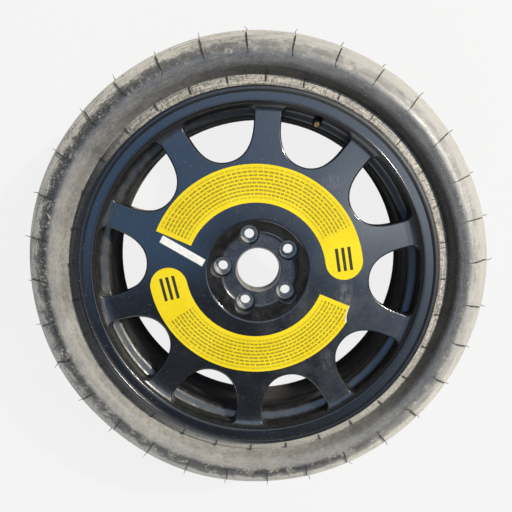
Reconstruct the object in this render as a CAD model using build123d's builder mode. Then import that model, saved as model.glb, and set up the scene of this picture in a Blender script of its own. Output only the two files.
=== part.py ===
"""Collapsible spare wheel: cast alloy rim, folded tyre, rubber snap-in valve and stickers.

The origin is the centre of the hub's mounting face, on the wheel's axis. +Z points out of the
car, so the face looks up and the wheel lies on its inner side. All sizes are millimetres.
"""
import os
from math import cos, radians, sin, sqrt, tan

from build123d import *

# Rim barrel, a nominal 20 x 6.5 in profile
rim_width = 165.1  # between the bead faces of the two flanges
bead_seat_dia = 512.8
wheel_offset = 28.0  # from the rim's middle plane out to the hub's mounting face
flange_height = 14.1
flange_thick = 11.0
flange_nose = 4.5  # rounding of the flange's free edge
flange_curl = 5.0  # rounding of the flange towards the tyre
lip_width = 9.5  # raised outer lip of the front flange
lip_top = 6.5
lip_rise = 3.0
band_fall = 0.5  # the front flange falls towards the windows by this much
lip_round = 1.5
lip_wall = 9.4  # bead seat to the inside of the front flange
disc_overlap = 3.0  # the disc runs on into the barrel
seat_width = 22.0
seat_taper = 5.0  # degrees
well_depth = 21.5  # below the bead seat
well_width = 30.0
well_slope = 20.0  # degrees between the well's front wall and a flat disc
barrel_wall = 5.0
bend_round = 5.0  # inside bends of the barrel
well_round = 8.0  # edge of the well towards the windows
shoulder_hollow = 10.0  # between the front flange and the well's front wall

# Disc, hub and windows
spoke_count = 10
face_height = 54.0  # front face above the hub's mounting face
plate_thick = 18.0
spoke_root_thick = 27.0  # where the spokes meet the barrel
root_run = 12.0  # radial length of the hollow at the outer end of each spoke
spoke_width = 40.0
window_inner_dia = 337.0
window_shoulder_share = 0.583  # rounded inner end, of a window's radial length
window_margin = 3.0  # ledge between a window and the barrel
window_corner = 10.0
window_edge = 2.5  # rounding of the window edges
first_hole_angle = 32.4  # degrees
bore_dia = 66.5
bore_chamfer = 1.7
pad_dia = 148.0  # hub mounting pad
pad_height = 4.0
hub_floor = 30.0
recess_dia = 154.0
recess_wall = 18.0  # radial run of the recess's sloping wall
recess_edge = 5.0
recess_foot = 8.0
back_run = 26.0  # radial run of the cone behind the disc

# Bolt holes with ball seats
bolt_count = 5
bolt_circle_dia = 112.0
bolt_hole_dia = 15.3
ball_radius = 13.0
pocket_dia = 32.4
pocket_floor = 14.0
pocket_ledge = 4.0  # flat ring round the ball seat

# Folded tyre, as heights from the rim's middle plane
tyre_dia = 701.0
sidewall = 6.0
bead_clearance = 0.1
bead_width = 18.0
bead_height = 12.0
ring_step = 9.5  # from the flange's edge out to the ridge beside it
ring_height = 85.0
ring_inner_round = 0.5
ring_foot_round = 6.0
fold_height = 57.0  # fold between the ridge and the roll
roll_height = 111.0  # crest of the folded sidewall
shoulder_height = 72.0
tread_width = 124.0
tread_thick = 14.0
groove_count = 3
groove_spacing = 36.0
groove_width = 7.0
groove_depth = 6.0

# Places and roundings of the folds, as shares of the width from the ridge to the tread
fold_share = 0.2
roll_share = 0.41
fold_round_share = 0.1
roll_round_share = 0.255
shoulder_round_share = 0.142

# Rubber valve with a brass stem and a sprung core
valve_hole_dia = 11.5
valve_step = 3.6  # from the bottom of the well out to the valve hole
valve_length = 17.0  # exposed, from its seat
seat_sink = 0.5  # spot faces on both sides of the valve hole
rubber_fit = 0.05
collar_dia = 14.4
collar_length = 2.5
rubber_length = 9.0  # from the seat to the rubber's outer end
rubber_end_dia = 9.8
bulb_length = 6.0
bulb_end_dia = 10.0
stem_dia = 7.7
shank_dia = 5.8  # stem inside the rubber
shank_tail = 10.0  # behind the seat
stem_chamfer = 0.4
air_bore_dia = 3.2
chamber_dia = 4.2
chamber_low = 4.0
core_thread_dia = 5.2
core_seat = 9.5
thread_fit = 0.03
core_top_gap = 1.5  # stem's end to the core's top
core_length = 8.5
plug_length = 5.0
neck_dia = 3.4
ledge_thick = 1.0
spring_bore_dia = 3.0
pin_dia = 1.0
pin_fit = 0.15
pin_top_gap = 0.6  # stem's end to the pin's top
pin_length = 12.9
pin_collar_dia = 2.5
pin_collar_thick = 0.6
spring_length = 2.7
spring_dia = 2.0  # centre of the wire
spring_wire = 0.3
spring_turns = 4.5
spring_gap = 0.02
seal_dia = 3.1
seal_thick = 1.3
seal_gap = 0.05

# Stickers on the disc
label_outer_dia = 324.0
label_inner_dia = 211.4
label_thick = 0.2
upper_label_x = -3.1
upper_label_y = -2.0
upper_start_angle = 7.7  # degrees, at the centre of the rounded end
upper_end_angle = 156.9
lower_label_x = -4.0
lower_label_y = 5.6
lower_start_angle = 191.9
lower_end_angle = 337.8
tear_length = 24.0
tear_depth = 7.0
strip_length = 73.0
strip_width = 11.5
strip_inset = 44.5  # from the ring stickers' outer edge in to its middle
strip_angle = 164.4  # degrees, of its middle
strip_turn_angle = -30.2

# Levels and radii that the pieces share
middle = -wheel_offset
front_bead = middle + rim_width / 2
rear_bead = middle - rim_width / 2
rim_front = front_bead + flange_thick
rim_rear = rear_bead - flange_thick
seat_radius = bead_seat_dia / 2
flange_radius = seat_radius + flange_height
taper = tan(radians(seat_taper))
seat_end_radius = seat_radius - seat_width * taper
lip_radius = seat_radius - lip_wall
lip_height = rim_front - lip_rise - band_fall
well_radius = seat_radius - well_depth
slope = radians(well_slope)
well_front = front_bead - seat_width - (seat_end_radius - well_radius) * tan(slope)
well_rear = well_front - well_width
barrel_radius = seat_end_radius - barrel_wall
well_inside = well_radius - barrel_wall
pitch = 360 / spoke_count
label_outer = label_outer_dia / 2
label_inner = label_inner_dia / 2
label_mid_radius = (label_outer + label_inner) / 2
label_end_radius = (label_outer - label_inner) / 2


def shoulder_level(radius):
    """Height of the front face of the well's front wall at a radius."""
    return well_front + barrel_wall / cos(slope) + (radius - well_radius) * tan(slope)


def polar(radius, angle):
    """Point at a radius and an angle in degrees."""
    return radius * cos(radians(angle)), radius * sin(radians(angle))


def label_tip(angle):
    """Outermost point of a sticker's rounded end, whose centre is at this angle."""
    return Vector(*polar(label_mid_radius, angle)) + Vector(*polar(label_end_radius, angle - 90))


os.makedirs("parts", exist_ok=True)

# Cast wheel: disc with windows first, then the barrel, then hub and valve holes
plate_back = face_height - plate_thick
recess_radius = recess_dia / 2
floor_radius = recess_radius - recess_wall
pad_radius = pad_dia / 2
root_start = lip_radius - root_run
root_end = lip_height - lip_round
disc_radius = lip_radius + disc_overlap
window_inner = window_inner_dia / 2
window_outer = lip_radius - window_margin
half_pitch = radians(pitch / 2)
spoke_half = spoke_width / 2
corner_run = sqrt(window_outer**2 - spoke_half**2)
corner_x = corner_run * cos(half_pitch) + spoke_half * sin(half_pitch)
corner_y = corner_run * sin(half_pitch) - spoke_half * cos(half_pitch)
shoulder_x = window_inner + (window_outer - window_inner) * window_shoulder_share
shoulder_y = shoulder_x * tan(half_pitch) - spoke_half / cos(half_pitch)
ball_mouth = pocket_dia / 2 - pocket_ledge
ball_centre = pocket_floor + sqrt(ball_radius**2 - ball_mouth**2)
valve_angle = first_hole_angle + pitch
valve_radius = well_radius + valve_step
valve_out = Vector(*polar(1, valve_angle))
valve_side = Vector(*polar(1, valve_angle + 90))
valve_direction = Vector(0, 0, cos(slope)) - valve_out * sin(slope)
valve_wall = valve_out * valve_radius + Vector(0, 0, shoulder_level(valve_radius))
valve_seat = valve_wall - valve_direction * seat_sink
valve_section = Plane(valve_seat, x_dir=valve_side, z_dir=valve_side.cross(valve_direction))
valve_axis = Axis(valve_seat, valve_direction)
seat_wall = barrel_wall - 2 * seat_sink

with BuildSketch() as window_shape:
    with BuildLine():
        Spline(
            (shoulder_x, -shoulder_y),
            (window_inner, 0),
            (shoulder_x, shoulder_y),
            tangents=[(-cos(half_pitch), sin(half_pitch)), (cos(half_pitch), sin(half_pitch))],
        )
        Line((shoulder_x, shoulder_y), (corner_x, corner_y))
        ThreePointArc((corner_x, corner_y), (window_outer, 0), (corner_x, -corner_y))
        Line((corner_x, -corner_y), (shoulder_x, -shoulder_y))
    make_face()
    fillet(window_shape.vertices().sort_by(Axis.X)[-2:], window_corner)

with BuildPart() as wheel_rim:
    # Disc with its hub recess
    with BuildSketch(Plane.XZ) as disc_section:
        with BuildLine():
            Polyline(
                (root_start, face_height),
                (recess_radius, face_height),
                (floor_radius, hub_floor),
                (bore_dia / 2 + bore_chamfer, hub_floor),
                (bore_dia / 2, hub_floor - bore_chamfer),
                (bore_dia / 2, 0),
                (pad_radius, 0),
                (pad_radius, pad_height),
                (pad_radius + back_run, plate_back),
                (disc_radius, face_height - spoke_root_thick),
                (disc_radius, root_end),
                (lip_radius, root_end),
            )
            TangentArc((root_start, face_height), (lip_radius, root_end), tangent=(1, 0))
        make_face()
        fillet(disc_section.vertices().sort_by_distance((recess_radius, face_height))[0], recess_edge)
        fillet(disc_section.vertices().sort_by_distance((floor_radius, hub_floor))[0], recess_foot)
    revolve(axis=Axis.Z)
    # Windows between the spokes, with rounded front edges
    with BuildSketch(Plane.XY.offset(plate_back)):
        with PolarLocations(0, spoke_count, start_angle=first_hole_angle):
            add(window_shape.sketch)
    extrude(amount=rim_front, both=True, mode=Mode.SUBTRACT)
    cut_edges = wheel_rim.edges(Select.LAST)
    front_edges = cut_edges.filter_by(lambda e: e.bounding_box().min.Z > face_height - window_edge)
    ring_edges = front_edges.filter_by(GeomType.CIRCLE)
    seam_edges = ring_edges.filter_by(lambda e: abs(e.radius - root_start) < window_edge)
    fillet(front_edges - seam_edges, window_edge)
    # Barrel with both flanges and the well
    with BuildSketch(Plane.XZ) as barrel_section:
        with BuildLine():
            Polyline(
                (lip_radius, lip_height),
                (flange_radius - lip_width, rim_front - lip_rise),
                (flange_radius - lip_top, rim_front),
                (flange_radius, rim_front),
                (flange_radius, front_bead),
                (seat_radius, front_bead),
                (seat_end_radius, front_bead - seat_width),
                (well_radius, well_front),
                (well_radius, well_rear),
                (seat_end_radius, rear_bead + seat_width),
                (seat_radius, rear_bead),
                (flange_radius, rear_bead),
                (flange_radius, rim_rear),
                (barrel_radius, rim_rear),
                (barrel_radius, rear_bead + seat_width),
                (well_inside, well_rear),
                (well_inside, shoulder_level(well_inside)),
                (lip_radius, shoulder_level(lip_radius)),
                close=True,
            )
        make_face()
        nose_corners = [(flange_radius, rim_front), (flange_radius, rim_rear)]
        curl_corners = [(flange_radius, front_bead), (flange_radius, rear_bead)]
        bend_corners = [
            (seat_end_radius, front_bead - seat_width),
            (well_radius, well_front),
            (well_radius, well_rear),
            (well_inside, well_rear),
        ]
        for corners, radius in (
            (nose_corners, flange_nose),
            (curl_corners, flange_curl),
            (bend_corners, bend_round),
            ([(lip_radius, lip_height)], lip_round),
            ([(lip_radius, shoulder_level(lip_radius))], shoulder_hollow),
            ([(well_inside, shoulder_level(well_inside))], well_round),
        ):
            for corner in corners:
                fillet(barrel_section.vertices().sort_by_distance(corner)[0], radius)
    revolve(axis=Axis.Z)
    # Bolt holes: pocket, ball seat and clearance hole
    with PolarLocations(bolt_circle_dia / 2, bolt_count, start_angle=first_hole_angle):
        with Locations((0, 0, pocket_floor)):
            upwards = (Align.CENTER, Align.CENTER, Align.MIN)
            Cylinder(pocket_dia / 2, rim_front, align=upwards, mode=Mode.SUBTRACT)
        with Locations((0, 0, ball_centre)):
            Sphere(ball_radius, mode=Mode.SUBTRACT)
        Cylinder(bolt_hole_dia / 2, rim_front, mode=Mode.SUBTRACT)
    # Valve hole with a spot face on each side of the wall
    with BuildSketch(valve_section):
        with BuildLine():
            Polyline(
                (0, -seat_wall - bulb_length),
                (collar_dia / 2 + seat_sink, -seat_wall - bulb_length),
                (collar_dia / 2 + seat_sink, -seat_wall),
                (valve_hole_dia / 2, -seat_wall),
                (valve_hole_dia / 2, 0),
                (collar_dia / 2 + seat_sink, 0),
                (collar_dia / 2 + seat_sink, rubber_length),
                (0, rubber_length),
                close=True,
            )
        make_face()
    revolve(axis=valve_axis, mode=Mode.SUBTRACT)
wheel_rim.part.label = "wheel_rim"
export_step(wheel_rim.part, "parts/wheel_rim.step")

# Tyre: the deflated sidewalls are folded in, so each side has a ridge, a fold and a roll
bead_half = rim_width / 2 - bead_clearance
bead_radius = seat_radius + bead_clearance
toe_radius = bead_radius - bead_width * taper
tyre_radius = tyre_dia / 2
ring_radius = flange_radius + ring_step
folded_width = tyre_radius - ring_radius
side_corners = [
    (flange_radius, bead_half),
    (ring_radius, ring_height),
    (ring_radius + folded_width * fold_share, fold_height),
    (ring_radius + folded_width * roll_share, roll_height),
    (tyre_radius, shoulder_height),
]
side_rounds = [
    ring_foot_round,
    sidewall + ring_inner_round,
    folded_width * fold_round_share,
    folded_width * roll_round_share,
    folded_width * shoulder_round_share,
]

with BuildPart() as tyre:
    with BuildSketch(Plane.XZ.shift_origin((0, 0, middle))) as tyre_section:
        with BuildLine():
            Polyline(
                (well_radius, bead_half),
                *side_corners,
                *[(r, -h) for r, h in reversed(side_corners)],
                (well_radius, -bead_half),
                close=True,
            )
        make_face()
        for (r, h), radius in zip(side_corners, side_rounds):
            fillet(tyre_section.vertices().sort_by_distance((r, h))[0], radius)
            fillet(tyre_section.vertices().sort_by_distance((r, -h))[0], radius)
        offset(amount=-sidewall, mode=Mode.SUBTRACT)
        with Locations((bead_radius, 0)):
            Rectangle(bead_radius, 2 * roll_height, align=(Align.MAX, Align.CENTER), mode=Mode.SUBTRACT)
        with BuildLine():
            for side in (1, -1):
                Polyline(
                    (toe_radius, side * (bead_half - bead_width)),
                    (bead_radius, side * bead_half),
                    (bead_radius + bead_height, side * bead_half),
                    (bead_radius + bead_height, side * (bead_half - bead_width)),
                    close=True,
                )
        make_face()
        with Locations((tyre_radius, 0)):
            Rectangle(tread_thick, tread_width, align=(Align.MAX, Align.CENTER))
        with Locations((tyre_radius, 0)):
            with GridLocations(0, groove_spacing, 1, groove_count):
                Rectangle(groove_depth, groove_width, align=(Align.MAX, Align.CENTER), mode=Mode.SUBTRACT)
    revolve(axis=Axis.Z)
tyre.part.label = "tyre"
export_step(tyre.part, "parts/tyre.step")

# Valve: heights run along its axis, from its seat on the rim outwards
rubber_radius = valve_hole_dia / 2 - rubber_fit
core_top = valve_length - core_top_gap
plug_foot = core_top - plug_length
core_foot = core_top - core_length
spring_floor = plug_foot + ledge_thick
pin_top = valve_length - pin_top_gap
pin_hole = pin_dia / 2 + pin_fit
collar_foot = spring_floor + spring_length

with BuildPart() as valve_rubber:
    with BuildSketch(valve_section):
        with BuildLine():
            Polyline(
                (shank_dia / 2, -seat_wall - bulb_length),
                (bulb_end_dia / 2, -seat_wall - bulb_length),
                (collar_dia / 2, -seat_wall - rubber_fit),
                (rubber_radius, -seat_wall - rubber_fit),
                (rubber_radius, rubber_fit),
                (collar_dia / 2, rubber_fit),
                (collar_dia / 2, collar_length),
                (rubber_end_dia / 2, rubber_length),
                (shank_dia / 2, rubber_length),
                close=True,
            )
        make_face()
    revolve(axis=valve_axis)
valve_rubber.part.label = "valve_rubber"
export_step(valve_rubber.part, "parts/valve_rubber.step")

with BuildPart() as valve_stem:
    with BuildSketch(valve_section):
        with BuildLine():
            Polyline(
                (air_bore_dia / 2, -shank_tail),
                (shank_dia / 2, -shank_tail),
                (shank_dia / 2, rubber_length),
                (stem_dia / 2 - stem_chamfer, rubber_length),
                (stem_dia / 2, rubber_length + stem_chamfer),
                (stem_dia / 2, valve_length - stem_chamfer),
                (stem_dia / 2 - stem_chamfer, valve_length),
                (core_thread_dia / 2, valve_length),
                (core_thread_dia / 2, core_seat),
                (chamber_dia / 2, core_seat),
                (chamber_dia / 2, chamber_low),
                (air_bore_dia / 2, chamber_low),
                close=True,
            )
        make_face()
    revolve(axis=valve_axis)
valve_stem.part.label = "valve_stem"
export_step(valve_stem.part, "parts/valve_stem.step")

with BuildPart() as core_body:
    with BuildSketch(valve_section):
        with BuildLine():
            Polyline(
                (pin_hole, core_foot),
                (neck_dia / 2, core_foot),
                (neck_dia / 2, plug_foot),
                (core_thread_dia / 2 - thread_fit, plug_foot),
                (core_thread_dia / 2 - thread_fit, core_top),
                (spring_bore_dia / 2, core_top),
                (spring_bore_dia / 2, spring_floor),
                (pin_hole, spring_floor),
                close=True,
            )
        make_face()
    revolve(axis=valve_axis)
core_body.part.label = "core_body"
export_step(core_body.part, "parts/core_body.step")

with BuildPart() as core_pin:
    with BuildSketch(valve_section):
        with BuildLine():
            Polyline(
                (0, pin_top - pin_length),
                (pin_dia / 2, pin_top - pin_length),
                (pin_dia / 2, collar_foot),
                (pin_collar_dia / 2, collar_foot),
                (pin_collar_dia / 2, collar_foot + pin_collar_thick),
                (pin_dia / 2, collar_foot + pin_collar_thick),
                (pin_dia / 2, pin_top),
                (0, pin_top),
                close=True,
            )
        make_face()
    revolve(axis=valve_axis)
core_pin.part.label = "core_pin"
export_step(core_pin.part, "parts/core_pin.step")

with BuildPart() as core_seal:
    with BuildSketch(valve_section):
        with BuildLine():
            Polyline(
                (pin_dia / 2, core_foot - seal_gap - seal_thick),
                (seal_dia / 2, core_foot - seal_gap - seal_thick),
                (seal_dia / 2, core_foot - seal_gap),
                (pin_dia / 2, core_foot - seal_gap),
                close=True,
            )
        make_face()
    revolve(axis=valve_axis)
core_seal.part.label = "core_seal"
export_step(core_seal.part, "parts/core_seal.step")

coil_height = spring_length - spring_wire - 2 * spring_gap
coil_pitch = coil_height / spring_turns
coil_foot = valve_seat + valve_direction * (spring_floor + spring_gap + spring_wire / 2)
with BuildPart() as core_spring:
    with BuildLine() as coil:
        Helix(coil_pitch, coil_height, spring_dia / 2, center=coil_foot, direction=valve_direction)
    with BuildSketch(Plane(coil.line @ 0, z_dir=coil.line % 0)):
        Circle(spring_wire / 2)
    sweep(is_frenet=True)
core_spring.part.label = "core_spring"
export_step(core_spring.part, "parts/core_spring.step")

# Stickers: two ring segments, each with one rounded end, and a straight strip
upper_sweep = upper_end_angle - upper_start_angle
lower_sweep = lower_end_angle - lower_start_angle

with BuildPart() as upper_label:
    with BuildSketch(Plane((upper_label_x, upper_label_y, face_height))):
        with BuildLine():
            outer_edge = CenterArc((0, 0), label_outer, upper_start_angle, upper_sweep)
            inner_edge = CenterArc((0, 0), label_inner, upper_start_angle, upper_sweep)
            Line(outer_edge @ 1, inner_edge @ 1)
            ThreePointArc(inner_edge @ 0, label_tip(upper_start_angle), outer_edge @ 0)
        make_face()
    extrude(amount=label_thick)
upper_label.part.label = "upper_label"
export_step(upper_label.part, "parts/upper_label.step")

with BuildPart() as lower_label:
    with BuildSketch(Plane((lower_label_x, lower_label_y, face_height))):
        with BuildLine():
            outer_edge = CenterArc((0, 0), label_outer, lower_start_angle, lower_sweep)
            inner_edge = CenterArc((0, 0), label_inner, lower_start_angle, lower_sweep)
            Line(outer_edge @ 1, inner_edge @ 1)
            ThreePointArc(inner_edge @ 0, label_tip(lower_start_angle), outer_edge @ 0)
        make_face()
        # Torn corner at the cut end
        with Locations(polar(label_outer, lower_end_angle)):
            Ellipse(tear_length, tear_depth, rotation=lower_end_angle - 90, mode=Mode.SUBTRACT)
    extrude(amount=label_thick)
lower_label.part.label = "lower_label"
export_step(lower_label.part, "parts/lower_label.step")

with BuildPart() as white_label:
    with BuildSketch(Plane((*polar(label_outer - strip_inset, strip_angle), face_height))):
        Rectangle(strip_length, strip_width, rotation=strip_turn_angle)
    extrude(amount=label_thick)
white_label.part.label = "white_label"
export_step(white_label.part, "parts/white_label.step")
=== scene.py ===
"""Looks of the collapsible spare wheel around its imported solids. Metres, in the row frame."""
import math
import random

import bmesh
import bpy
from mathutils import Matrix, Vector


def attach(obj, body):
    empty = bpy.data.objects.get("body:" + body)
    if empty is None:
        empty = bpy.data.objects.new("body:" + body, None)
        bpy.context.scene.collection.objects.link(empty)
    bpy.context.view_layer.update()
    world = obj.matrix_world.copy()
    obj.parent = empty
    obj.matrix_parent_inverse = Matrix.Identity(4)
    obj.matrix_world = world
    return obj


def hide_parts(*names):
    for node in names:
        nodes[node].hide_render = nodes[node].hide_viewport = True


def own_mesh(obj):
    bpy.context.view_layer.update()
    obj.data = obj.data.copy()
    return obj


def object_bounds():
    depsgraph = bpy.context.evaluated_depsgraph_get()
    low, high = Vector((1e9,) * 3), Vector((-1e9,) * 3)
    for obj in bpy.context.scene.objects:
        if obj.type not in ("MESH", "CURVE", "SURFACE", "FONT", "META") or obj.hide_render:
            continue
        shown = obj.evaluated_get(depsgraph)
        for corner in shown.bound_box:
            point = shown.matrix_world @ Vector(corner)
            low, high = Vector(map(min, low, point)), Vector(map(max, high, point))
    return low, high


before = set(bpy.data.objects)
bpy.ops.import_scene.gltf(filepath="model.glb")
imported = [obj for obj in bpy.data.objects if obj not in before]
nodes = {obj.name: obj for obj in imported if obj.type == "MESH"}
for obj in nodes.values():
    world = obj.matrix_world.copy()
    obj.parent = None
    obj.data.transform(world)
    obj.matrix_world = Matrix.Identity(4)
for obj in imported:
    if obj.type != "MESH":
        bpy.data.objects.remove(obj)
cad_low, cad_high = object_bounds()
scene = bpy.context.scene
MM = 0.001
UP = Vector((0.0, 0.0, 1.0))

# Camera, at the photograph's viewing angle: metres and radians, and pixels of the image
CAMERA_DISTANCE = 0.82785
CAMERA_TILT = 0.138003
CAMERA_TURN = -0.0020897
CAMERA_SIDE = 0.0022449
CAMERA_LIFT = -0.00438596
FOCAL_PIXELS = 513.72
IMAGE_PIXELS = 512
CENTRE_RIGHT_PIXELS = 0.6134
CENTRE_DOWN_PIXELS = 7.9659
SENSOR = 36.0

# Bolt holes
FIRST_HOLE = math.radians(32.4)
HOLE_COUNT = 5
BOLT_RADIUS = 56 * MM

# Tyre: outside from the bead over the ridge, the crease and the roll to the tread's edge,
# as radius, height from the tyre's middle and rounding of each corner
TYRE_MIDDLE = -28 * MM
TYRE_RADIUS = 350.5 * MM
TYRE_CORNERS = (
    (257.2 * MM, 82.2 * MM, 0.0),
    (271.2 * MM, 82.3 * MM, 1.0 * MM),
    (274.0 * MM, 83.8 * MM, 1.5 * MM),
    (283.5 * MM, 79.8 * MM, 2.0 * MM),
    (287.2 * MM, 73.5 * MM, 1.8 * MM),
    (296.8 * MM, 92.5 * MM, 13.0 * MM),
    (317.5 * MM, 98.2 * MM, 19.0 * MM),
    (TYRE_RADIUS, 72.0 * MM, 10.0 * MM),
    (TYRE_RADIUS, 50.0 * MM, 0.0),
)
CORNER_STEPS = 8
TYRE_STEPS = 480
GROOVE_SPACING = 36 * MM
GROOVE_WIDTH = 7 * MM
GROOVE_DEPTH = 6 * MM
GROOVE_TAPER = 1 * MM

# Slack of the folded tyre: waves round the wheel as size, count and phase, and a sag of the outer edge
WAVE_START = 279 * MM
WAVE_WIDTH = 20 * MM
RADIUS_WAVES = ((0.5 * MM, 3, 0.6), (0.35 * MM, 7, 1.9))
HEIGHT_WAVES = ((0.8 * MM, 4, 2.2), (0.5 * MM, 9, 0.4))
BACK_DROP = 0.6 * MM
SLACK_START = 284 * MM
SLACK_WIDTH = TYRE_RADIUS - SLACK_START
SAG_SINE = 2.5 * MM
SAG_COSINE = -0.7 * MM
SAG_DOUBLE_SINE = 0.4 * MM
SAG_DOUBLE_COSINE = 0.5 * MM
SAG_ALL_ROUND = -2.2 * MM

# Moulded ribs and vent hairs, placed by their radius on the profile
RIB_COUNT = 32
RIB_STEPS = 22
RIB_WIDTH = 1.7 * MM
OUTER_RIB_HEIGHT = 2.1 * MM
INNER_RIB_HEIGHT = 2.0 * MM
RIB_ROOT = 0.35 * MM
OUTER_RIB_TURN = math.radians(2.6)
INNER_RIB_TURN = math.radians(9.0)
RIB_TURN_SPREAD = 0.003
RIB_LEAN_SPREAD = 0.012
CREST_RADIUS = 316.5 * MM
SIDE_END_RADIUS = 347.0 * MM
EDGE_RADIUS = 349.2 * MM
RIDGE_START_RADIUS = 274.5 * MM
RIDGE_END_RADIUS = 288.5 * MM
HAIR_THICK = 1.3 * MM
HAIR_ROOT = 0.4 * MM
HAIR_TAPER = 0.55
HAIR_STEPS = 6
HAIR_SIDES = 6
RIB_SEED = 20

# Round edges of the front flange: ring radius, height and section radius
FLANGE_ROUNDS = (
    (249.60 * MM, 59.45 * MM, 3.10 * MM),
    (265.16 * MM, 62.75 * MM, 3.00 * MM),
    (266.00 * MM, 61.05 * MM, 4.55 * MM),
)
FLANGE_STEPS = 512
FLANGE_SIDES = 20

# Valve: its place on the rim, its core's spring and the thread on its stem
VALVE_TURN = FIRST_HOLE + math.radians(36)
VALVE_SLOPE = math.radians(20)
VALVE_RADIUS = 238.671 * MM
VALVE_HEIGHT = 31.586 * MM
SPRING_FLOOR = 11.5 * MM
SPRING_LENGTH = 2.7 * MM
COIL_RADIUS = 1.0 * MM
COIL_TURNS = 4.5
COIL_STEPS = 20
COIL_SIDES = 8
WIRE_RADIUS = 0.15 * MM
COIL_CLEARANCE = 0.02 * MM
THREAD_START = 10.1 * MM
THREAD_PITCH = 0.8 * MM
THREAD_TEETH = 8
THREAD_SIDES = 40
THREAD_CREST = 4.02 * MM
THREAD_ROOT = 3.80 * MM
THREAD_INSIDE = 0.97
THREAD_SHARP = 0.3

# Labels: the yellow rings' edges, and the rows of dashes and the bars on them
LABEL_OUTER = 162 * MM
LABEL_INNER = 105.7 * MM
LABEL_MIDDLE = (LABEL_OUTER + LABEL_INNER) / 2
DASH_MARGIN = 3.4 * MM
DASH_PITCH = 5.4 * MM
DASH_ROWS = 9
DASHES_A_RADIAN = 19.0
BAR_PITCH = 9.4 * MM
BAR_COUNT = 3
BAR_REACH = 18.0 * MM
BAR_SOFT = 0.4 * MM
TEAR_WIDTH = 24 * MM
TEAR_DEPTH = 7 * MM

# Stage: lamps as name, azimuth, elevation, distance, size, power and colour
FLOOR_SIZE = 6.0
FLOOR_GAP = 0.4 * MM
FLOOR_GLOW_SHARE = 0.93
LAMPS = (
    ("key", 32, 41, 4.0, 0.20, 156, (1.0, 0.93, 0.82)),
    ("glow", 30, 44, 4.0, 1.5, 36, (1.0, 0.97, 0.93)),
    ("fill", 242, 30, 4.0, 3.0, 42, (0.96, 0.98, 1.0)),
)


def make_camera():
    """The photograph's camera."""
    data = bpy.data.cameras.new("camera")
    data.sensor_width = SENSOR
    data.lens = FOCAL_PIXELS / IMAGE_PIXELS * SENSOR
    data.shift_x = -CENTRE_RIGHT_PIXELS / IMAGE_PIXELS
    data.shift_y = CENTRE_DOWN_PIXELS / IMAGE_PIXELS
    camera = bpy.data.objects.new("camera", data)
    scene.collection.objects.link(camera)
    turn = Matrix.Rotation(CAMERA_TURN, 3, "Y") @ Matrix.Rotation(CAMERA_TILT, 3, "X")
    back = turn.transposed()
    place = back @ Vector((-CAMERA_SIDE, -CAMERA_LIFT, CAMERA_DISTANCE))
    camera.matrix_world = Matrix.Translation(place) @ back.to_4x4()
    scene.camera = camera


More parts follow.
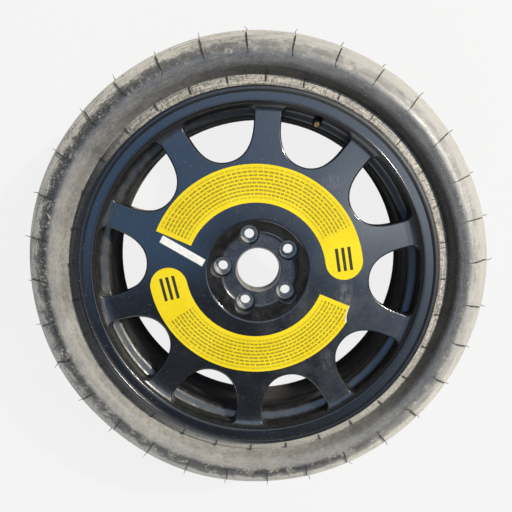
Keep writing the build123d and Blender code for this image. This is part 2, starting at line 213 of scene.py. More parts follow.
class Shader:
    """A node tree with short calls for the nodes used here."""

    def __init__(self, tree):
        tree.nodes.clear()
        self.tree = tree
        coords = tree.nodes.new("ShaderNodeTexCoord")
        self.point = coords.outputs["Object"]
        self.direction = coords.outputs["Generated"]

    def feed(self, socket, value):
        if isinstance(value, bpy.types.NodeSocket):
            self.tree.links.new(value, socket)
        else:
            socket.default_value = value

    def math(self, operation, *values):
        node = self.tree.nodes.new("ShaderNodeMath")
        node.operation = operation
        for socket, value in zip(node.inputs, values):
            self.feed(socket, value)
        return node.outputs[0]

    def add(self, a, b):
        return self.math("ADD", a, b)

    def sub(self, a, b):
        return self.math("SUBTRACT", a, b)

    def mul(self, a, *more):
        for b in more:
            a = self.math("MULTIPLY", a, b)
        return a

    def most(self, a, *more):
        for b in more:
            a = self.math("MAXIMUM", a, b)
        return a

    def step(self, value, low, high):
        """0 below low and 1 above high, smooth between; low may be above high."""
        node = self.tree.nodes.new("ShaderNodeMapRange")
        node.interpolation_type = "SMOOTHSTEP"
        flip = low > high
        self.feed(node.inputs["Value"], value)
        node.inputs["From Min"].default_value = min(low, high)
        node.inputs["From Max"].default_value = max(low, high)
        node.inputs["To Min"].default_value = 1.0 if flip else 0.0
        node.inputs["To Max"].default_value = 0.0 if flip else 1.0
        return node.outputs["Result"]

    def band(self, value, low, high, soft):
        """1 between low and high, with soft ends."""
        rise = self.step(value, low - soft, low + soft)
        fall = self.step(value, high + soft, high - soft)
        return self.mul(rise, fall)

    def scale_range(self, value, low, high):
        """A 0 to 1 value as low to high."""
        return self.math("MULTIPLY_ADD", value, high - low, low)

    def split(self, vector):
        node = self.tree.nodes.new("ShaderNodeSeparateXYZ")
        self.feed(node.inputs[0], vector)
        return node.outputs

    def join(self, x, y, z):
        node = self.tree.nodes.new("ShaderNodeCombineXYZ")
        for socket, value in zip(node.inputs, (x, y, z)):
            self.feed(socket, value)
        return node.outputs[0]

    def noise(self, scale, detail, rough, vector=None):
        node = self.tree.nodes.new("ShaderNodeTexNoise")
        self.feed(node.inputs["Vector"], self.point if vector is None else vector)
        node.inputs["Scale"].default_value = scale
        node.inputs["Detail"].default_value = detail
        node.inputs["Roughness"].default_value = rough
        return node.outputs[0]

    def white(self, vector):
        node = self.tree.nodes.new("ShaderNodeTexWhiteNoise")
        node.noise_dimensions = "3D"
        self.feed(node.inputs["Vector"], vector)
        return node.outputs["Value"]

    def mix(self, factor, a, b):
        node = self.tree.nodes.new("ShaderNodeMix")
        node.data_type = "RGBA"
        self.feed(node.inputs[0], factor)
        for socket, value in ((node.inputs[6], a), (node.inputs[7], b)):
            if isinstance(value, tuple):
                value = (*value, 1.0)
            self.feed(socket, value)
        return node.outputs[2]

    def mix_vectors(self, factor, a, b):
        node = self.tree.nodes.new("ShaderNodeMix")
        node.data_type = "VECTOR"
        for socket, value in ((node.inputs[0], factor), (node.inputs[4], a), (node.inputs[5], b)):
            self.feed(socket, value)
        return node.outputs[1]

    def bump(self, height, distance, strength):
        node = self.tree.nodes.new("ShaderNodeBump")
        node.inputs["Strength"].default_value = strength
        node.inputs["Distance"].default_value = distance
        self.feed(node.inputs["Height"], height)
        return node.outputs[0]

    def polar(self, x, y):
        """Radius and angle of a point."""
        radius = self.math("SQRT", self.add(self.mul(x, x), self.mul(y, y)))
        return radius, self.math("ARCTAN2", y, x)

    def facing(self, angle, centre, wide):
        """1 towards an angle in degrees, 0 beyond wide degrees from it."""
        turned = self.math("COSINE", self.sub(angle, math.radians(centre)))
        return self.step(turned, math.cos(math.radians(wide)), 1.0)

    def spot(self, x, y, place, size, soft):
        """1 in an ellipse round a place."""
        a = self.math("DIVIDE", self.sub(x, place[0]), size[0])
        b = self.math("DIVIDE", self.sub(y, place[1]), size[1])
        reach, _ = self.polar(a, b)
        return self.step(reach, 1.0 + soft, 1.0 - soft)


class Surface(Shader):
    """A material with one principled shader."""

    def __init__(self, name):
        self.material = bpy.data.materials.new(name)
        self.material.use_nodes = True
        super().__init__(self.material.node_tree)
        self.bsdf = self.tree.nodes.new("ShaderNodeBsdfPrincipled")
        out = self.tree.nodes.new("ShaderNodeOutputMaterial")
        self.tree.links.new(self.bsdf.outputs[0], out.inputs["Surface"])

    def set(self, **values):
        """Feed the principled shader's sockets, named with _ for each space."""
        for name, value in values.items():
            self.feed(self.bsdf.inputs[name.replace("_", " ")], value)


# Zones of the rim in radius or height: both sides of each ring, start and full value of each edge
HUB_FLOOR_RING = (36 * MM, 56 * MM)
HUB_FLOOR_TOP = (36 * MM, 31 * MM)
RECESS_EDGE = (79 * MM, 74 * MM)
RECESS_TOP = (53.5 * MM, 50 * MM)
BARREL_EDGE = (223.5 * MM, 226.5 * MM)
BARREL_TOP = (50 * MM, 42 * MM)
BARREL_FRONT = (18 * MM, 26 * MM)
BEHIND_EDGE = (222 * MM, 226 * MM)
BEHIND_TOP = (12 * MM, 0.0)
DISC_EDGE = (223.5 * MM, 220.5 * MM)
DISC_BACK = (32 * MM, 24 * MM)
WALL_RING = (233 * MM, 245.5 * MM)
WALL_TOP = (62 * MM, 55 * MM)
WALL_FOOT = (36 * MM, 46 * MM)
FACE_LEVELS = (52.5 * MM, 55.5 * MM)
FLANGE_EDGE = (246.5 * MM, 248.5 * MM)
SEAT_EDGE = (14.2 * MM, 13.0 * MM)
SEAT_TOP = (20.5 * MM, 16.5 * MM)
BORE_EDGE = (35.6 * MM, 34.5 * MM)
BEND_RING = (229 * MM, 244.5 * MM)
BEND_FOOT = (44 * MM, 50 * MM)
INNER_EDGE_RING = (245.5 * MM, 247.5 * MM)
NOSE_EDGE = (260.5 * MM, 263.5 * MM)

# Scuffs on the face: place, size and strength
SCUFFS = (
    ((133 * MM, -40 * MM), (12 * MM, 24 * MM), 1.0),
    ((111 * MM, 134 * MM), (14 * MM, 10 * MM), 0.8),
    ((105 * MM, -137 * MM), (8 * MM, 14 * MM), 0.7),
)

# Colours of the paint and of what lies on it, as linear red, green and blue
BLACK_PAINT = (0.0085, 0.0092, 0.0110)
FADED_PAINT = (0.0125, 0.0128, 0.0138)
WORN_PAINT = (0.075, 0.072, 0.066)
HUB_DUST = (0.095, 0.090, 0.080)
BARREL_DUST_AND_LIGHT = (0.090, 0.087, 0.079)
BROWN_DUST = (0.085, 0.056, 0.036)
BACK_DUST = (0.060, 0.054, 0.046)
WINDOW_DUST_AND_LIGHT = (0.085, 0.076, 0.060)
SCUFF_GREY = (0.20, 0.20, 0.19)
FACE_DUST = (0.115, 0.115, 0.110)
SPECK_GREY = (0.26, 0.26, 0.25)
CHIP_AND_GLINT_GREY = (0.30, 0.30, 0.29)
BARE_ALLOY = (0.62, 0.61, 0.59)


def paint_material():
    """Gloss black paint on cast alloy, with dust, scuffs, bare ball seats and turned rings, and painted
    light and glints on the lower left.
    """
    s = Surface("black_paint")
    x, y, z = s.split(s.point)
    radius, angle = s.polar(x, y)
    around = s.join(s.math("DIVIDE", x, radius), s.math("DIVIDE", y, radius), s.mul(radius, 60))
    cloud = s.noise(9, 4, 0.6)
    grain = s.noise(900, 2, 0.6)
    speck = s.step(s.noise(420, 1, 0.4), 0.70, 0.76)
    colour = s.mix(s.step(cloud, 0.35, 0.7), BLACK_PAINT, FADED_PAINT)

    # Hub: worn turned rings on its floor, dust in the recess and in the pockets
    turned = s.noise(14, 3, 0.65, around)
    hub = s.band(radius, *HUB_FLOOR_RING, 3 * MM)
    low = s.step(z, *HUB_FLOOR_TOP)
    worn = s.mul(hub, low, s.step(turned, 0.42, 0.68))
    colour = s.mix(s.mul(worn, 0.40), colour, WORN_PAINT)
    inside = s.mul(s.step(radius, *RECESS_EDGE), s.step(z, *RECESS_TOP))
    dusty = s.mul(inside, s.step(s.noise(48, 5, 0.7), 0.40, 0.75))
    colour = s.mix(s.mul(dusty, 0.26), colour, HUB_DUST)

    # Barrel and well: grey dust in front, heavier on the lower left where it also paints sunlit patches,
    # and brown dust behind the disc
    deep = s.mul(s.step(radius, *BARREL_EDGE), s.step(z, *BARREL_TOP))
    front = s.mul(deep, s.step(z, *BARREL_FRONT))
    mottle = s.step(s.noise(70, 5, 0.72), 0.36, 0.72)
    lower_left = s.facing(angle, 215, 130)
    grey = s.mul(front, mottle, s.scale_range(lower_left, 0.02, 0.55))
    colour = s.mix(grey, colour, BARREL_DUST_AND_LIGHT)
    behind = s.mul(s.step(radius, *BEHIND_EDGE), s.step(z, *BEHIND_TOP))
    brown = s.mul(behind, s.step(s.noise(24, 4, 0.6), 0.40, 0.62))
    colour = s.mix(s.mul(brown, 0.55), colour, BROWN_DUST)
    back = s.mul(s.step(radius, *DISC_EDGE), s.step(z, *DISC_BACK))
    colour = s.mix(s.mul(back, s.step(cloud, 0.3, 0.7), 0.5), colour, BACK_DUST)

    # Window walls gather dust at their outer ends, heavier on the lower left where it also paints light
    wall = s.mul(s.band(radius, *WALL_RING, 2 * MM), s.step(z, *WALL_TOP), s.step(z, *WALL_FOOT))
    wall = s.mul(wall, s.scale_range(lower_left, 0.05, 0.55))
    colour = s.mix(s.mul(wall, mottle, 0.6), colour, WINDOW_DUST_AND_LIGHT)

    # Scuffs and fine dust on the face
    face = s.band(z, *FACE_LEVELS, 0.8 * MM)
    smear = s.noise(60, 6, 0.75, s.join(s.mul(x, 2.2), y, z))
    scuff = s.most(*[s.mul(s.spot(x, y, place, size, 0.6), strength) for place, size, strength in SCUFFS])
    scuff = s.mul(scuff, face, s.step(smear, 0.40, 0.66))
    colour = s.mix(s.mul(scuff, 0.55), colour, SCUFF_GREY)
    film = s.mul(face, s.step(s.noise(26, 5, 0.7), 0.30, 0.75))
    film = s.mul(film, s.scale_range(s.facing(angle, -38, 70), 0.15, 0.8))
    colour = s.mix(s.mul(film, 0.34), colour, FACE_DUST)
    colour = s.mix(s.mul(speck, s.scale_range(cloud, 0.0, 0.5)), colour, SPECK_GREY)

    # Chips along the flange on the lower left, partly painted glints, and a dusty edge
    flange = s.step(radius, *FLANGE_EDGE)
    chips_and_glints = s.mul(flange, s.step(s.noise(420, 2, 0.5), 0.72, 0.76), s.facing(angle, 222, 75))
    colour = s.mix(s.mul(chips_and_glints, 0.7), colour, CHIP_AND_GLINT_GREY)

    # Bare ball seats and hole walls, and the bore's turned edge
    pitch = 2 * math.pi / HOLE_COUNT
    folded = s.math("WRAP", s.sub(angle, FIRST_HOLE), pitch / 2, -pitch / 2)
    seat_x = s.sub(s.mul(radius, s.math("COSINE", folded)), BOLT_RADIUS)
    seat_y = s.mul(radius, s.math("SINE", folded))
    from_hole, _ = s.polar(seat_x, seat_y)
    seat = s.mul(s.step(from_hole, *SEAT_EDGE), s.step(z, *SEAT_TOP))
    seat = s.mul(seat, s.scale_range(s.step(s.noise(220, 4, 0.6), 0.30, 0.55), 0.75, 1.0))
    bore = s.mul(s.step(radius, *BORE_EDGE), s.step(turned, 0.25, 0.45))
    bare = s.most(seat, s.mul(bore, 0.7))
    colour = s.mix(bare, colour, BARE_ALLOY)

    # Gloss: dull behind the disc, softer on the bends, the flange and its sunny nose
    rough = s.scale_range(s.step(cloud, 0.3, 0.75), 0.09, 0.16)
    rough = s.add(rough, s.mul(s.most(behind, back), 0.40))
    bend = s.mul(s.band(radius, *BEND_RING, 2 * MM), s.step(z, *BEND_FOOT))
    edge = s.band(radius, *INNER_EDGE_RING, 1 * MM)
    rough = s.add(rough, s.most(s.mul(front, 0.21), s.mul(flange, 0.08), s.mul(s.most(bend, edge), 0.13)))
    nose = s.mul(s.step(radius, *NOSE_EDGE), s.facing(angle, 42, 95))
    rough = s.add(rough, s.mul(nose, 0.34))
    matte = s.most(s.mul(worn, 0.6), dusty, grey, brown, scuff, s.mul(film, 0.5), s.mul(wall, mottle))
    rough = s.add(rough, s.mul(matte, 0.30))
    rough = s.add(rough, s.mul(bare, 0.12))
    ripple = s.noise(230, 2, 0.5)
    turned_bump = s.bump(turned, 0.0005, 0.35)
    paint_bump = s.bump(s.add(s.mul(ripple, 0.5), s.mul(grain, 0.10)), 0.00008, 0.25)
    normal = s.mix_vectors(s.mul(hub, low), paint_bump, turned_bump)
    s.set(Base_Color=colour, Metallic=bare, Roughness=rough, IOR=1.62, Normal=normal)
    return s.material


# Zones of the tyre in radius, or in distance from its middle, written in the same way
FLANK_RING = (286 * MM, 313 * MM)
HOLLOW_RING = (286 * MM, 300 * MM)
LIT_SLOPE_EDGE = (310.5 * MM, 320 * MM)
OUTER_RING = (312 * MM, 339 * MM)
SCRAPED_RING = (322 * MM, 347 * MM)
SHOULDER_EDGE = (327 * MM, 336 * MM)
SHOULDER_SIDE = (58 * MM, 64 * MM)
TAN_END = (350.3 * MM, 348.8 * MM)
SMUDGE_RING = (312 * MM, 332 * MM)
RIDGE_EDGE = (288.0 * MM, 286.2 * MM)
TREAD_EDGE = (348.5 * MM, 349.5 * MM)
TREAD_SIDE = (62.5 * MM, 61.5 * MM)
TREAD_CUTS = 180
TREAD_WAVE = 0.010
TREAD_WAVE_RATE = 260

# Pale spots on the tyre: place and size
PALE_SPOTS = (
    ((-238 * MM, -222 * MM), (7 * MM, 5 * MM)),
    ((130 * MM, 292 * MM), (4 * MM, 3 * MM)),
    ((-41 * MM, 314 * MM), (5 * MM, 3 * MM)),
)

# Colours of the tyre's rubber and dust
DARK_RUBBER = (0.060, 0.061, 0.063)
PALE_RUBBER = (0.135, 0.134, 0.131)
BRUSHED_RUBBER = (0.23, 0.226, 0.217)
FLANK_DUST_AND_LIGHT = (0.42, 0.405, 0.375)
GROOVE_SHADOW = (0.018, 0.018, 0.019)
LIT_SLOPE_GREY = (0.50, 0.495, 0.475)
RAGGED_DARK_AND_SHADE = (0.030, 0.031, 0.033)
SCRAPED_RUBBER = (0.52, 0.50, 0.44)
FLAKE_TAN = (0.58, 0.55, 0.48)
BRIGHTENED_SHOULDER_TAN = (0.76, 0.725, 0.64)
DIMMED_SUNWARD_TAN = (0.44, 0.43, 0.40)
SMUDGE_TAN = (0.38, 0.355, 0.30)
RIDGE_SHADE = (0.013, 0.014, 0.017)
RIDGE_TAN = (0.56, 0.53, 0.465)
SPOT_TAN = (0.50, 0.48, 0.42)
GRIT_TAN = (0.36, 0.34, 0.30)
TREAD_SHADE = (0.085, 0.084, 0.081)
CUT_BLACK = (0.020, 0.020, 0.020)


def tyre_material():
    """Grey rubber with tan dust on the ridge and the shoulder, dark patches, scratches and flecks, and
    painted sunlight, sheen and shade by side.
    """
    s = Surface("dusty_rubber")
    x, y, z = s.split(s.point)
    radius, angle = s.polar(x, y)
    unit_x = s.math("DIVIDE", x, radius)
    unit_y = s.math("DIVIDE", y, radius)

    # Radius that the point has before the tyre sags
    sag = s.add(s.mul(unit_y, SAG_SINE), s.mul(unit_x, SAG_COSINE))
    double_cosine = s.sub(s.mul(unit_x, unit_x), s.mul(unit_y, unit_y))
    sag = s.add(sag, s.mul(double_cosine, SAG_DOUBLE_COSINE))
    sag = s.add(sag, s.mul(unit_x, unit_y, 2 * SAG_DOUBLE_SINE))
    share = s.mul(s.add(sag, SAG_ALL_ROUND), 1 / SLACK_WIDTH)
    radius = s.math("DIVIDE", s.add(radius, s.mul(share, SLACK_START)), s.add(share, 1.0))

    # Noises over the surface and round the wheel
    along = s.join(s.mul(unit_x, 3.0), s.mul(unit_y, 3.0), s.mul(radius, 46))
    fine_along = s.join(s.mul(unit_x, 14.0), s.mul(unit_y, 14.0), s.mul(radius, 150))
    cloud = s.noise(14, 5, 0.62)
    patch = s.noise(32, 5, 0.66)
    streak = s.noise(2.6, 5, 0.62, along)
    brushed = s.noise(3.0, 5, 0.7, fine_along)
    fleck = s.noise(330, 3, 0.6)
    grain = s.noise(1500, 2, 0.6)

    lower_left = s.facing(angle, 225, 120)
    left = s.facing(angle, 185, 80)
    right = s.facing(angle, -10, 70)
    bottom = s.facing(angle, 280, 75)

    # Rubber: dark grey, with lighter brushed dust
    colour = s.mix(s.step(streak, 0.30, 0.72), DARK_RUBBER, PALE_RUBBER)
    colour = s.mix(s.mul(s.step(brushed, 0.45, 0.70), 0.45), colour, BRUSHED_RUBBER)

    # Inner flank of the roll: dust and painted sunlight, lightest at the lower left
    flank = s.band(radius, *FLANK_RING, 4 * MM)
    pale = s.mul(flank, s.scale_range(lower_left, 0.10, 0.95))
    pale = s.mul(pale, s.scale_range(s.step(cloud, 0.28, 0.62), 0.6, 1.0))
    pale = s.mul(pale, s.scale_range(s.step(brushed, 0.30, 0.62), 0.55, 1.0))
    pale = s.mul(pale, s.scale_range(s.step(patch, 0.3, 0.6), 0.7, 1.0))
    colour = s.mix(pale, colour, FLANK_DUST_AND_LIGHT)
    # Painted shadow in the groove on the upper right, where the roll shades it
    groove_shadow = s.mul(s.band(radius, *HOLLOW_RING, 5 * MM), s.facing(angle, 28, 95))
    colour = s.mix(s.mul(groove_shadow, 0.85), colour, GROOVE_SHADOW)
    # Painted sunlight and sheen on the outer slope towards the key lamp, broken by streaks
    lit_outer_slope = s.mul(s.step(radius, *LIT_SLOPE_EDGE), s.facing(angle, 22, 105))
    lit_outer_slope = s.mul(lit_outer_slope, s.scale_range(s.step(streak, 0.30, 0.65), 0.55, 1.0))
    colour = s.mix(s.mul(lit_outer_slope, 0.92), colour, LIT_SLOPE_GREY)

    # Outer flank: dark ragged patches that also paint shade on the side away from the key lamp, and pale
    # flakes
    outer = s.band(radius, *OUTER_RING, 6 * MM)
    ragged = s.noise(55, 6, 0.75)
    torn = s.noise(210, 4, 0.7)
    shade_and_wear_side = s.most(left, s.facing(angle, 240, 62))
    dark = s.mul(outer, s.step(ragged, 0.60, 0.50), s.scale_range(shade_and_wear_side, 0.40, 1.0))
    dark = s.mul(dark, s.sub(1.0, s.mul(right, 0.8)))
    colour = s.mix(s.mul(dark, 0.80), colour, RAGGED_DARK_AND_SHADE)
    scraped = s.noise(3.0, 4, 0.75, s.join(s.mul(unit_x, 34.0), s.mul(unit_y, 34.0), s.mul(radius, 120)))
    scraped = s.mul(s.band(radius, *SCRAPED_RING, 4 * MM), left, s.step(scraped, 0.57, 0.61))
    colour = s.mix(s.mul(scraped, 0.9), colour, SCRAPED_RUBBER)
    flakes = s.mul(outer, s.step(torn, 0.53, 0.60), s.step(ragged, 0.46, 0.56))
    flakes = s.mul(flakes, s.scale_range(s.most(shade_and_wear_side, right), 0.25, 1.0))
    colour = s.mix(s.mul(flakes, 0.85), colour, FLAKE_TAN)

    # Shoulder and tread edge: tan dust with a ragged edge, dark flecks and lines round the tyre
    spread = s.scale_range(shade_and_wear_side, 16 * MM, 50 * MM)
    edge = s.add(radius, s.add(s.mul(s.sub(ragged, 0.5), spread), s.mul(s.sub(torn, 0.5), 14 * MM)))
    beside = s.math("ABSOLUTE", s.sub(z, TYRE_MIDDLE))
    shoulder = s.mul(s.step(edge, *SHOULDER_EDGE), s.step(beside, *SHOULDER_SIDE))
    lines = s.noise(2.2, 3, 0.6, s.join(s.mul(unit_x, 3.0), s.mul(unit_y, 3.0), s.mul(radius, 190)))
    tan = s.mul(shoulder, s.step(fleck, 0.34, 0.42), s.scale_range(s.step(lines, 0.38, 0.48), 0.50, 1.0))
    tan = s.mul(tan, s.scale_range(s.step(streak, 0.25, 0.60), 0.75, 1.0), s.step(radius, *TAN_END))
    # Tan painted brighter on the side away from the key lamp and dimmer towards it, standing in for light
    side_lit_tan = s.mix(s.facing(angle, 38, 95), BRIGHTENED_SHOULDER_TAN, DIMMED_SUNWARD_TAN)
    colour = s.mix(s.mul(tan, 0.95), colour, side_lit_tan)
    smudge = s.mul(s.band(radius, *SMUDGE_RING, 6 * MM), bottom, s.step(ragged, 0.50, 0.58))
    colour = s.mix(s.mul(smudge, 0.6), colour, SMUDGE_TAN)

    # Ridge beside the flange: tan dust with cracks across it and lines along it
    ridge = s.step(s.add(radius, s.mul(s.sub(torn, 0.5), 5 * MM)), *RIDGE_EDGE)
    across = s.noise(4.0, 4, 0.7, s.join(s.mul(unit_x, 24.0), s.mul(unit_y, 24.0), s.mul(radius, 40)))
    crack = s.mul(s.step(across, 0.42, 0.50), s.scale_range(s.step(lines, 0.42, 0.50), 0.15, 1.0))
    ridge_dust = s.mul(ridge, s.step(torn, 0.28, 0.40))
    ridge_dust = s.mul(ridge_dust, s.scale_range(s.most(crack, s.mul(bottom, 0.7)), 0.20, 1.0))
    shaded = s.step(s.math("COSINE", s.sub(angle, math.radians(187))), 0.45, 0.82)
    colour = s.mix(s.mul(ridge, shaded, 0.9), colour, RIDGE_SHADE)
    ridge_dust = s.mul(ridge_dust, s.scale_range(shaded, 1.0, 0.04))
    colour = s.mix(s.mul(ridge_dust, 0.92), colour, RIDGE_TAN)

    # Pale spots
    spots = s.most(*[s.spot(x, y, place, size, 0.5) for place, size in PALE_SPOTS])
    colour = s.mix(s.mul(spots, s.step(fleck, 0.40, 0.5)), colour, SPOT_TAN)
    grit = s.step(s.noise(520, 1, 0.4), 0.66, 0.72)
    colour = s.mix(s.mul(grit, 0.5), colour, GRIT_TAN)

    # Tread: painted shade on the tread's side, and fine crosswise cuts painted dark as shade
    tread = s.mul(s.step(radius, *TREAD_EDGE), s.step(beside, *TREAD_SIDE))
    wave = s.mul(s.math("SINE", s.mul(s.sub(z, TYRE_MIDDLE), TREAD_WAVE_RATE)), TREAD_WAVE)
    turns = s.mul(s.add(angle, wave), TREAD_CUTS / (2 * math.pi))
    cut = s.mul(tread, s.step(s.math("ABSOLUTE", s.sub(s.math("FRACT", turns), 0.5)), 0.07, 0.04))
    colour = s.mix(s.mul(tread, 0.55), colour, TREAD_SHADE)
    colour = s.mix(s.mul(cut, 0.9), colour, CUT_BLACK)

    # Relief and gloss
    dust = s.most(tan, ridge_dust, smudge, flakes, scraped)
    height = s.add(s.mul(patch, 0.45), s.mul(brushed, 0.25))
    height = s.add(height, s.mul(s.most(shoulder, ridge), lines, 0.7))
    height = s.add(height, s.mul(dust, 0.35))
    height = s.add(height, s.mul(fleck, 0.18))
    height = s.add(height, s.mul(grain, 0.05))
    height = s.sub(height, s.mul(ridge, s.sub(1.0, crack), 0.35))
    height = s.sub(height, s.mul(cut, 1.2))
    rough = s.scale_range(s.step(cloud, 0.3, 0.7), 0.30, 0.44)
    rough = s.add(rough, s.mul(s.most(dust, pale), 0.40))
    s.set(Base_Color=colour, Roughness=rough, Normal=s.bump(height, 0.0012, 0.6))
    s.set(Specular_IOR_Level=0.55)
    return s.material


# Colours of the labels
DEEP_YELLOW = (0.84, 0.645, 0.010)
BRIGHT_YELLOW = (0.90, 0.715, 0.020)
DASH_INK = (0.060, 0.057, 0.020)
BAR_INK = (0.030, 0.029, 0.018)
LABEL_GRIME = (0.30, 0.25, 0.05)
LABEL_SCRATCH = (0.95, 0.88, 0.45)
TORN_PAPER = (0.80, 0.79, 0.74)
PAPER_WHITE = (0.88, 0.88, 0.87)
PAPER_GREY = (0.68, 0.67, 0.64)
PAPER_SMUDGE = (0.30, 0.29, 0.27)


def label_material(name, centre, first, last, bar_angle, tear=None):
    """Yellow film with rows of short dark dashes and three heavy bars at the rounded end."""
    s = Surface(name)
    x, y, _ = s.split(s.point)
    x = s.sub(x, centre[0])
    y = s.sub(y, centre[1])
    radius, angle = s.polar(x, y)
    angle = s.math("WRAP", angle, 2 * math.pi, 0.0)
    cloud = s.noise(16, 4, 0.6)
    fine = s.noise(240, 3, 0.6)
    colour = s.mix(s.step(cloud, 0.35, 0.68), DEEP_YELLOW, BRIGHT_YELLOW)

    # Rows of dashes
    depth = s.math("DIVIDE", s.sub(LABEL_OUTER - DASH_MARGIN, radius), DASH_PITCH)
    row = s.math("FLOOR", depth)
    across = s.math("FRACT", depth)
    length = s.mul(angle, DASHES_A_RADIAN)
    shifted = s.add(length, s.mul(s.white(s.join(row, 3.0, 0.0)), 7.0))
    word = s.math("FLOOR", shifted)
    place = s.math("FRACT", shifted)
    chance = s.white(s.join(row, word, 1.0))
    space = s.scale_range(chance, 0.05, 0.30)
    dash = s.mul(s.math("GREATER_THAN", place, space), s.band(across, 0.14, 0.64, 0.05))
    dash = s.mul(dash, s.band(row, 0.0, DASH_ROWS - 1, 0.1))
    dash = s.mul(dash, s.band(angle, math.radians(first), math.radians(last), 0.004))
    dash = s.mul(dash, s.scale_range(s.step(s.noise(700, 2, 0.5), 0.38, 0.50), 0.45, 1.0))
    colour = s.mix(s.mul(dash, 0.72), colour, DASH_INK)

    # Three heavy bars at the rounded end
    mark = math.radians(bar_angle)
    reach = s.sub(s.add(s.mul(x, math.cos(mark)), s.mul(y, math.sin(mark))), LABEL_MIDDLE)
    aside = s.sub(s.mul(y, math.cos(mark)), s.mul(x, math.sin(mark)))
    bar_row = s.add(s.math("DIVIDE", reach, BAR_PITCH), BAR_COUNT / 2)
    bars = s.mul(s.band(bar_row, 0.0, BAR_COUNT, 0.02), s.band(s.math("FRACT", bar_row), 0.25, 0.75, 0.04))
    bars = s.mul(bars, s.step(s.math("ABSOLUTE", aside), BAR_REACH, BAR_REACH - BAR_SOFT))
    colour = s.mix(bars, colour, BAR_INK)

    # Grime, scratches and the torn corner's white backing
    grime = s.step(s.noise(60, 5, 0.72), 0.55, 0.85)
    colour = s.mix(s.mul(grime, 0.30), colour, LABEL_GRIME)
    scratch = s.step(s.noise(40, 3, 0.5, s.join(s.mul(x, 6.0), y, 0.0)), 0.68, 0.74)
    colour = s.mix(s.mul(scratch, 0.18), colour, LABEL_SCRATCH)
    if tear is not None:
        turn = math.radians(tear)
        out = s.sub(s.add(s.mul(x, math.cos(turn)), s.mul(y, math.sin(turn))), LABEL_OUTER)
        side = s.sub(s.mul(y, math.cos(turn)), s.mul(x, math.sin(turn)))
        edge, _ = s.polar(s.math("DIVIDE", side, TEAR_WIDTH), s.math("DIVIDE", out, TEAR_DEPTH))
        edge = s.add(edge, s.mul(s.sub(fine, 0.5), 0.16))
        colour = s.mix(s.step(edge, 1.20, 1.14), colour, TORN_PAPER)
    rough = s.scale_range(s.step(cloud, 0.3, 0.7), 0.34, 0.48)
    s.set(Base_Color=colour, Roughness=rough, Normal=s.bump(s.add(fine, cloud), 0.0002, 0.2))
    s.set(Specular_IOR_Level=0.25)
    return s.material


def strip_material():
    """White paper strip with grey smudges."""
    s = Surface("white_strip")
    cloud = s.noise(70, 4, 0.65)
    fibre = s.noise(900, 2, 0.6)
    colour = s.mix(s.step(cloud, 0.45, 0.75), PAPER_WHITE, PAPER_GREY)
    colour = s.mix(s.mul(s.step(s.noise(300, 2, 0.5), 0.64, 0.72), 0.5), colour, PAPER_SMUDGE)
    s.set(Base_Color=colour, Roughness=s.scale_range(cloud, 0.45, 0.65), Normal=s.bump(fibre, 0.0001, 0.3))
    return s.material


# Colours of the valve and of the tyre's ribs
BRIGHT_BRASS = (0.70, 0.50, 0.22)
DULL_BRASS = (0.42, 0.29, 0.13)
BRIGHT_WIRE = (0.56, 0.56, 0.55)
DULL_WIRE = (0.36, 0.35, 0.34)
BLACK_RUBBER = (0.014, 0.014, 0.014)
DUSTY_RUBBER = (0.075, 0.070, 0.060)


def brass_material():
    """Bare brass, tarnished in patches."""
    s = Surface("brass")
    cloud = s.noise(600, 4, 0.6)
    colour = s.mix(s.step(cloud, 0.35, 0.7), BRIGHT_BRASS, DULL_BRASS)
    rough = s.scale_range(cloud, 0.22, 0.48)
    s.set(Base_Color=colour, Roughness=rough, Normal=s.bump(s.noise(4000, 2, 0.6), 0.00004, 0.4))
    s.set(Metallic=1.0)
    return s.material


def steel_material():
    """Plain spring wire."""
    s = Surface("spring_wire")
    cloud = s.noise(1500, 3, 0.6)
    colour = s.mix(s.step(cloud, 0.4, 0.7), BRIGHT_WIRE, DULL_WIRE)
    s.set(Base_Color=colour, Roughness=s.scale_range(cloud, 0.22, 0.40))
    s.set(Metallic=1.0)
    return s.material


def valve_rubber_material():
    """Black moulded rubber with a little dust."""
    s = Surface("valve_rubber")
    cloud = s.noise(240, 4, 0.65)
    colour = s.mix(s.step(cloud, 0.42, 0.72), BLACK_RUBBER, DUSTY_RUBBER)
    s.set(Base_Color=colour, Roughness=s.scale_range(cloud, 0.42, 0.72), Normal=s.bump(cloud, 0.0002, 0.4))
    return s.material


def rounded_line(corners, radii, steps):
    """Points along a line of (radius, height) corners whose inner corners are rounded."""
    points = [Vector(corners[0])]
    for before, corner, after, size in zip(corners, corners[1:], corners[2:], radii):
        p = Vector(corner)
        u = (Vector(before) - p).normalized()
        v = (Vector(after) - p).normalized()
        half = u.angle(v) / 2
        centre = p + (u + v).normalized() * (size / math.sin(half))
        start = p + u * (size / math.tan(half)) - centre
        end = p + v * (size / math.tan(half)) - centre
        turn = start.angle(end)
        for i in range(steps + 1):
            t = i / steps
            along = (start * math.sin((1 - t) * turn) + end * math.sin(t * turn)) / math.sin(turn)
            points.append(centre + along)
    points.append(Vector(corners[-1]))
    return points


class Profile:
    """The tyre's outside as a line of (radius, height), by length along it."""

    SAMPLES = 2000
    NORMAL_REACH = 0.4 * MM

    def __init__(self, points):
        self.points = points
        self.lengths = [0.0]
        for a, b in zip(points, points[1:]):
            self.lengths.append(self.lengths[-1] + (b - a).length)

    def at(self, length):
        for i, reach in enumerate(self.lengths[1:]):
            if length <= reach:
                a, b = self.points[i], self.points[i + 1]
                span = max(reach - self.lengths[i], 1e-9)
                return a.lerp(b, (length - self.lengths[i]) / span)
        return self.points[-1].copy()

    def normal(self, length):
        d = self.at(length + self.NORMAL_REACH) - self.at(length - self.NORMAL_REACH)
        return Vector((-d.y, d.x)).normalized()

    def beyond(self, radius):
        """Length at the first sample that lies beyond a radius."""
        total = self.lengths[-1]
        for i in range(self.SAMPLES):
            length = total * i / self.SAMPLES
            if self.at(length).x > radius:
                return length
        return total


